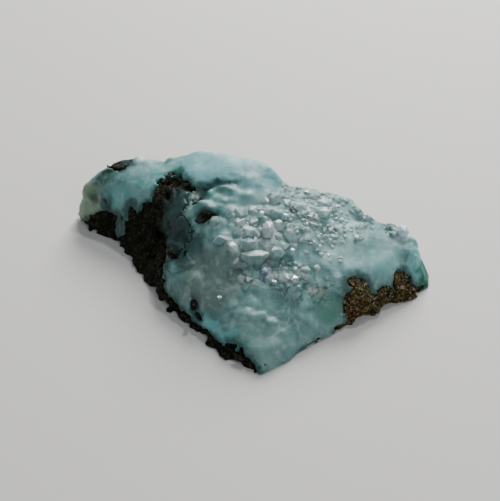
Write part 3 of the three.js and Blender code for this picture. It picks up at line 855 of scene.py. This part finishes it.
def crystal_material():
    """The druse's crystals: glassier and paler than the chalcedony, each in a shade of its own."""
    shader = Shader("quartz_points")
    place = shader.place()
    # The chalcedony's colours, with their painted shade, highlights and glow.
    colour = gem_colour(shader, place)
    shade = shader.number(SHADE)
    colour = shader.mixed(shader.between(shade, 0.4, 1.0, 0.16, 0.5), colour, CRYSTAL_PALE)
    colour = shader.mixed(shader.between(shade, 0.3, 0.0, 0.0, 0.12), colour, CRYSTAL_DEEP)
    polished = shader.between(shade, 0.84, 0.88, 0.0, 0.28)
    values = {
        "Base Color": colour,
        "Roughness": shader.noise(place, size=0.8) * 0.1 + 0.28 - polished,
        "IOR": QUARTZ_IOR,
        "Specular IOR Level": 0.35,
        "Transmission Weight": 0.15,
        "Subsurface Weight": 1.0,
        "Subsurface Radius": (0.8, 1.0, 1.0),
        "Subsurface Scale": 0.0007,
    }
    return shader.finish(values, shader.noise(place, size=0.3), bump_distance=0.02, bump_strength=0.3)


def rock_material():
    """The host rock: granular and near-black, partly its own colour and partly painted shade on the side away
    from the light;
    browner with pale and olive grains on its right-hand side, and smooth and bluish under the film."""
    shader = Shader(ROCK)
    place = shader.place()
    crumbled = shader.moved(place, size=0.5, reach=0.35)
    grain = shader.grains(crumbled, size=GRAIN, output="Color")
    kind = shader.add("ShaderNodeSeparateColor", None, {"Color": grain})
    patch = shader.noise(place, size=1.6, detail=5.0)
    brown_side = shader.blob(place, *BROWN_SIDE, edge=(1.1, 0.8))
    # Near-black away from the brown side, partly painted shade.
    colour = shader.mixed(shader.between(patch, 0.42, 0.58), *ROCK_DARK_AND_SHADED)
    brown = shader.mixed(shader.between(patch, 0.42, 0.58), *ROCK_BROWN)
    colour = shader.mixed(brown_side, colour, brown)
    rust = shader.blob(place, *RUST_SPOT, edge=(1.3, 0.5))
    colour = shader.mixed(rust * 0.7, colour, RUST)
    # Fewer pale and olive grains away from the brown side, which adds to the painted shade there.
    flecks = brown_side * 0.72 + 0.1
    colour = shader.mixed(shader.between(kind, 0.62, 0.72) * flecks, colour, GRAIN_OLIVE)
    colour = shader.mixed(shader.between(kind, 0.86, 0.92) * flecks, colour, GRAIN_PALE)
    colour = shader.mixed(shader.between(kind, 0.34, 0.24, 0.0, 0.85), colour, GRAIN_DARK)
    drifted = shader.moved(place, size=1.6, reach=0.8)
    film = shader.blob(drifted, *FILM, edge=(1.1, 0.85))
    stain = shader.blob(drifted, *STAIN_SPOT, edge=(1.1, 0.75))
    film_colour = shader.mixed(shader.between(patch, 0.35, 0.65), *FILM_COLOURS)
    colour = shader.mixed((film + stain * 0.8) * 0.9, colour, film_colour)
    glint = shader.between(kind, 0.72, 0.76, 0.0, 0.42) * (brown_side * 0.8 + 0.2)
    roughness = shader.noise(place, size=0.5) * 0.2 + 0.66 - glint - film * 0.3
    grainy = shader.noise(place, size=0.35, detail=5.0) - shader.grains(crumbled, size=GRAIN)
    values = {"Base Color": colour, "Roughness": roughness, "IOR": 1.5, "Specular IOR Level": 0.18}
    return shader.finish(values, grainy * (1 - film * 0.85), bump_distance=0.2, bump_strength=0.9)


class GeometryTree(Nodes):
    """A Geometry Nodes tree that takes a geometry and its named inputs, and gives a geometry."""

    def __init__(self, name, inputs):
        super().__init__(bpy.data.node_groups.new(name, "GeometryNodeTree"))
        interface = self.tree.interface
        interface.new_socket("Geometry", in_out="INPUT", socket_type="NodeSocketGeometry")
        interface.new_socket("Geometry", in_out="OUTPUT", socket_type="NodeSocketGeometry")
        for socket, kind in inputs.items():
            interface.new_socket(socket, in_out="INPUT", socket_type="NodeSocket" + kind)
        self.entry = self.tree.nodes.new("NodeGroupInput")
        self.exit = self.tree.nodes.new("NodeGroupOutput")

    def given(self, name):
        """One of the tree's inputs."""
        return Socket(self, self.entry.outputs[name])

    def end(self, geometry):
        """The tree, which ends in that geometry."""
        self.tree.links.new(geometry.socket, self.exit.inputs["Geometry"])
        return self.tree


def unit_crystal(tree):
    """A crystal one across, one high to its shoulders and pointed above them, sunk in what it grows on."""
    prism_size = {"Vertices": CRYSTAL_SIDES, "Radius": 0.5, "Depth": 1.0}
    prism = tree.add("GeometryNodeMeshCylinder", {"fill_type": "TRIANGLE_FAN"}, prism_size)
    place = tree.add("GeometryNodeInputPosition")
    flat = tree.vector("MULTIPLY", place, (1, 1, 0))
    from_axis = tree.vector("LENGTH", flat, output="Value")
    height = tree.add("ShaderNodeSeparateXYZ", None, {0: place}, output="Z")
    on_axis = tree.add("FunctionNodeCompare", {"operation": "LESS_THAN"}, {0: from_axis, 1: AXIS_REACH})
    upper = tree.add("FunctionNodeCompare", {"operation": "GREATER_THAN"}, {0: height, 1: 0.0})
    apex = tree.add("FunctionNodeBooleanMath", {"operation": "AND"}, {0: on_axis, 1: upper})
    rise = tree.add("ShaderNodeCombineXYZ", None, {"Z": tree.given("Tip")})
    raised = {"Geometry": prism, "Selection": apex, "Offset": rise}
    pointed = tree.add("GeometryNodeSetPosition", None, raised)
    sunk = {"Geometry": pointed, "Translation": (0, 0, -CRYSTAL_SINK)}
    return tree.add("GeometryNodeTransform", None, sunk)


def crystal_tree():
    """Scatters six-sided quartz points over a surface where one of its stored numbers lets them grow."""
    tree = GeometryTree("quartz_points", CRYSTAL_INPUTS)
    field = {"Name": tree.given("Field")}
    number = tree.add("GeometryNodeInputNamedAttribute", {"data_type": "FLOAT"}, field)
    scatter = {
        "Mesh": tree.given("Geometry"),
        "Distance Min": tree.given("Spacing"),
        "Density Max": CRYSTAL_DENSITY,
        "Density Factor": number,
        "Seed": tree.given("Seed"),
    }
    points = tree.add("GeometryNodeDistributePointsOnFaces", {"distribute_method": "POISSON"}, scatter)
    crystal = unit_crystal(tree)

    sizes = {0: tree.given("Smallest"), 1: tree.given("Largest"), "Seed": tree.given("Seed")}
    size = tree.add("FunctionNodeRandomValue", {"data_type": "FLOAT_VECTOR"}, sizes)
    tilt = tree.given("Tilt")
    back = tilt * -1.0
    low = tree.add("ShaderNodeCombineXYZ", None, {"X": back, "Y": back, "Z": 0.0})
    high = tree.add("ShaderNodeCombineXYZ", None, {"X": tilt, "Y": tilt, "Z": math.pi})
    turns = {0: low, 1: high, "Seed": TURN_SEED}
    turn = tree.add("FunctionNodeRandomValue", {"data_type": "FLOAT_VECTOR"}, turns)
    spin = tree.add("FunctionNodeEulerToRotation", None, {0: turn})
    upright_and_spin = {"Rotation": points.beside("Rotation"), "Rotate By": spin}
    aim = tree.add("FunctionNodeRotateRotation", {"rotation_space": "LOCAL"}, upright_and_spin)
    growing = {"Points": points, "Instance": crystal, "Rotation": aim, "Scale": size}
    grown = tree.add("GeometryNodeInstanceOnPoints", None, growing)

    shades = {2: 0.0, 3: 1.0, "Seed": SHADE_SEED}
    shade = tree.add("FunctionNodeRandomValue", {"data_type": "FLOAT"}, shades, output=1)
    stored = {"Geometry": grown, "Name": SHADE, "Value": shade}
    shaded = tree.add("GeometryNodeStoreNamedAttribute", {"data_type": "FLOAT", "domain": "INSTANCE"}, stored)
    whole = tree.add("GeometryNodeRealizeInstances", None, {0: shaded})
    finished = {"Geometry": whole, "Material": tree.given("Material")}
    return tree.end(tree.add("GeometryNodeSetMaterial", None, finished))


def grown_on(carrier, name, tree, values):
    """A plain mesh of what the tree grows on the carrier."""
    modifier = carrier.modifiers.new(name, "NODES")
    modifier.node_group = tree
    for item in tree.interface.items_tree:
        if item.in_out == "INPUT" and item.name in values:
            modifier[item.identifier] = values[item.name]
    carrier.update_tag()
    bpy.context.view_layer.update()
    evaluated = carrier.evaluated_get(bpy.context.evaluated_depsgraph_get())
    mesh = bpy.data.meshes.new_from_object(evaluated)
    carrier.modifiers.remove(modifier)
    mesh.name = name
    mesh.shade_flat()
    return new_object(name, mesh)


def crystal_at(place, size, tip, turns):
    """A crystal as vertices and faces: its shoulders round the place, its foot sunk in what it grew on."""
    angles = np.arange(CRYSTAL_SIDES) * math.tau / CRYSTAL_SIDES
    ring = np.stack([np.cos(angles) / 2, np.sin(angles) / 2, np.zeros(CRYSTAL_SIDES)], 1)
    corners = np.concatenate([ring - (0, 0, 1), ring, [(0, 0, tip)]]) * size
    turn = np.array(Euler([math.radians(angle) for angle in turns]).to_matrix())
    foot = [(i, (i + 1) % CRYSTAL_SIDES) for i in range(CRYSTAL_SIDES)]
    walls = [(a, b, b + CRYSTAL_SIDES, a + CRYSTAL_SIDES) for a, b in foot]
    point = [(a + CRYSTAL_SIDES, b + CRYSTAL_SIDES, 2 * CRYSTAL_SIDES) for a, b in foot]
    return corners @ turn.T + place, walls + point + [tuple(reversed(range(CRYSTAL_SIDES)))]


def settle(thing, node):
    """Hides the imported part that the piece stands for, and hangs the piece on the body that it moves with.
    """
    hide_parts(node)
    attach(thing, ROOT)


class StoneSettings(bpy.types.PropertyGroup):
    cell: bpy.props.FloatProperty(
        name="Grain",
        description="Size of the surface's squares",
        default=0.2 * MM,
        min=0.1 * MM,
        unit="LENGTH",
    )


class DruseSettings(bpy.types.PropertyGroup):
    spacing: bpy.props.FloatProperty(
        name="Spacing", description="Least distance between two crystals", default=0.55 * MM, unit="LENGTH"
    )
    width: bpy.props.FloatProperty(
        name="Width", description="Width of a middling crystal", default=1.3 * MM, unit="LENGTH"
    )
    tilt: bpy.props.FloatProperty(
        name="Tilt",
        description="How far crystals lean",
        default=math.radians(30),
        subtype="ANGLE",
        unit="ROTATION",
    )
    seed: bpy.props.IntProperty(name="Seed", description="Another arrangement of crystals", default=4)


class StageSettings(bpy.types.PropertyGroup):
    floor_colour: bpy.props.FloatVectorProperty(
        name="Floor", description="Colour of the floor", default=(0.62, 0.61, 0.59), subtype="COLOR", size=3
    )
    key_power: bpy.props.FloatProperty(
        name="Key light", description="Power of the light behind the stone", default=2.1, unit="POWER"
    )
    fill_power: bpy.props.FloatProperty(
        name="Fill light", description="Power of the light in front", default=0.3, unit="POWER"
    )
    spark_power: bpy.props.FloatProperty(
        name="Spark light", description="Power of the small light for glints", default=0.3, unit="POWER"
    )


class AddStone(bpy.types.Operator):
    """Builds the chalcedony and the rock that it grew on"""

    bl_idname = "mesh.gem_silica_stone"
    bl_label = "Stone"

    def execute(self, context):
        cell = context.scene.gem_stone.cell / MM
        shells = stone_meshes(cell)
        for node, material in ((GEM, gem_material), (ROCK, rock_material)):
            surface = mesh_object(node + "_surface", *shells[node])
            surface.data.shade_smooth()
            surface.data.materials.append(material())
            settle(surface, node)
        self.store_fields(bpy.data.objects[GEM + "_surface"], shells[GEM][0])
        return {"FINISHED"}

    def store_fields(self, surface, vertices):
        """Stores how far each vertex is from rock, and how densely each sort of crystal stands there."""
        x, y, z = vertices.T
        vertex_numbers(surface, FROM_ROCK, -rock_field(x, y, z))
        normals = np.array([vertex.normal[:] for vertex in surface.data.vertices])
        bears_crystals = (normals[:, 2] > DRUSE_UPRIGHT) & (z > DRUSE_LOWEST)
        for sort in DRUSE:
            vertex_numbers(surface, sort, druse_cover(x, y, sort) * bears_crystals)


class AddDruse(bpy.types.Operator):
    """Grows the druse's quartz points on the chalcedony"""

    bl_idname = "mesh.gem_silica_druse"
    bl_label = "Druse"

    def execute(self, context):
        settings = context.scene.gem_druse
        carrier = bpy.data.objects[GEM + "_surface"]
        tree = crystal_tree()
        material = crystal_material()
        for sort, form in DRUSE.items():
            width = settings.width * form["width"]
            values = {
                "Field": sort,
                "Spacing": settings.spacing * form["spacing"],
                "Smallest": tuple(share * width for share in CRYSTAL_SMALLEST),
                "Largest": tuple(share * width for share in CRYSTAL_LARGEST),
                "Tilt": settings.tilt * form["lean"],
                "Tip": form["tip"],
                "Seed": settings.seed,
                "Material": material,
            }
            settle(grown_on(carrier, sort, tree, values), GEM)
        self.add_singles(material)
        return {"FINISHED"}

    def add_singles(self, material):
        """Sets the larger and the polished crystals, all in one piece."""
        crystals = [(single, SINGLE_SHADE) for single in SINGLES]
        crystals += [((place, GLINT_SIZE, GLINT_TIP, GLINT_TURNS), GLINT_SHADE) for place in GLINTS]
        vertices, faces, shades = [], [], []
        for crystal, shade in crystals:
            corners, sides = crystal_at(*crystal)
            faces += [tuple(corner + len(vertices) for corner in side) for side in sides]
            vertices += corners.tolist()
            shades += [shade] * len(corners)
        singles = mesh_object("druse_singles", np.array(vertices), faces)
        singles.data.shade_flat()
        singles.data.materials.append(material)
        vertex_numbers(singles, SHADE, shades)
        settle(singles, GEM)


class AddStage(bpy.types.Operator):
    """Lays the floor and sets the lights and the camera"""

    bl_idname = "scene.gem_silica_stage"
    bl_label = "Stage"

    def execute(self, context):
        settings = context.scene.gem_stage
        self.add_floor(settings.floor_colour)
        for name, (place, size, colour) in LIGHTS.items():
            self.add_light(context, name, place, size, getattr(settings, name + "_power"), colour)
        world = bpy.data.worlds.new("studio")
        world.use_nodes = True
        background = world.node_tree.nodes["Background"]
        background.inputs["Color"].default_value = STUDIO_COLOUR
        background.inputs["Strength"].default_value = STUDIO_STRENGTH
        context.scene.world = world
        self.add_camera(context)
        return {"FINISHED"}

    def add_floor(self, colour):
        signs = ((-1, -1), (1, -1), (1, 1), (-1, 1))
        corners = [(across * FLOOR_HALF, along * FLOOR_HALF, -FLOOR_DROP) for across, along in signs]
        floor = mesh_object("floor", np.array(corners), [range(len(corners))])
        values = {"Base Color": tuple(colour) + (1.0,), "Roughness": FLOOR_ROUGHNESS}
        floor.data.materials.append(Shader("floor").finish(values))

    def add_light(self, context, name, place, size, power, colour):
        """A round light that faces the origin."""
        light = bpy.data.lights.new(name, "AREA")
        light.shape = "DISK"
        light.size = size
        light.energy = power
        light.color = colour
        lamp = bpy.data.objects.new(name, light)
        lamp.location = place
        lamp.rotation_euler = (-lamp.location).to_track_quat("-Z", "Y").to_euler()
        context.scene.collection.objects.link(lamp)

    def add_camera(self, context):
        """A camera in front of the stone, turned down to it."""
        lens = bpy.data.cameras.new("camera")
        lens.lens = CAMERA_LENS
        lens.clip_start = CAMERA_CLIP
        camera = bpy.data.objects.new("camera", lens)
        x, y, z = CAMERA_TARGET
        back = CAMERA_DISTANCE * math.cos(CAMERA_ELEVATION)
        up = CAMERA_DISTANCE * math.sin(CAMERA_ELEVATION)
        camera.location = (x, y - back, z + up)
        camera.rotation_euler = (math.pi / 2 - CAMERA_ELEVATION, 0, 0)
        context.scene.collection.objects.link(camera)
        context.scene.camera = camera


class GemSilicaPanel(bpy.types.Panel):
    """Lists each operator under its settings"""

    bl_idname = "VIEW3D_PT_gem_silica"
    bl_label = "Gem Silica"
    bl_space_type = "VIEW_3D"
    bl_region_type = "UI"
    bl_category = "Gem Silica"

    def draw(self, context):
        for operator, group in ((AddStone, "gem_stone"), (AddDruse, "gem_druse"), (AddStage, "gem_stage")):
            settings = getattr(context.scene, group)
            for name in settings.bl_rna.properties.keys():
                if name not in ("rna_type", "name"):
                    self.layout.prop(settings, name)
            self.layout.operator(operator.bl_idname)


SETTINGS = {"gem_stone": StoneSettings, "gem_druse": DruseSettings, "gem_stage": StageSettings}
CLASSES = (*SETTINGS.values(), AddStone, AddDruse, AddStage, GemSilicaPanel)


def register():
    for each in CLASSES:
        bpy.utils.register_class(each)
    for name, group in SETTINGS.items():
        setattr(bpy.types.Scene, name, bpy.props.PointerProperty(type=group))


def unregister():
    for name in SETTINGS:
        delattr(bpy.types.Scene, name)
    for each in reversed(CLASSES):
        bpy.utils.unregister_class(each)


def main():
    register()
    bpy.ops.mesh.gem_silica_stone()
    bpy.ops.mesh.gem_silica_druse()
    bpy.ops.scene.gem_silica_stage()


if __name__ == "__main__":
    main()
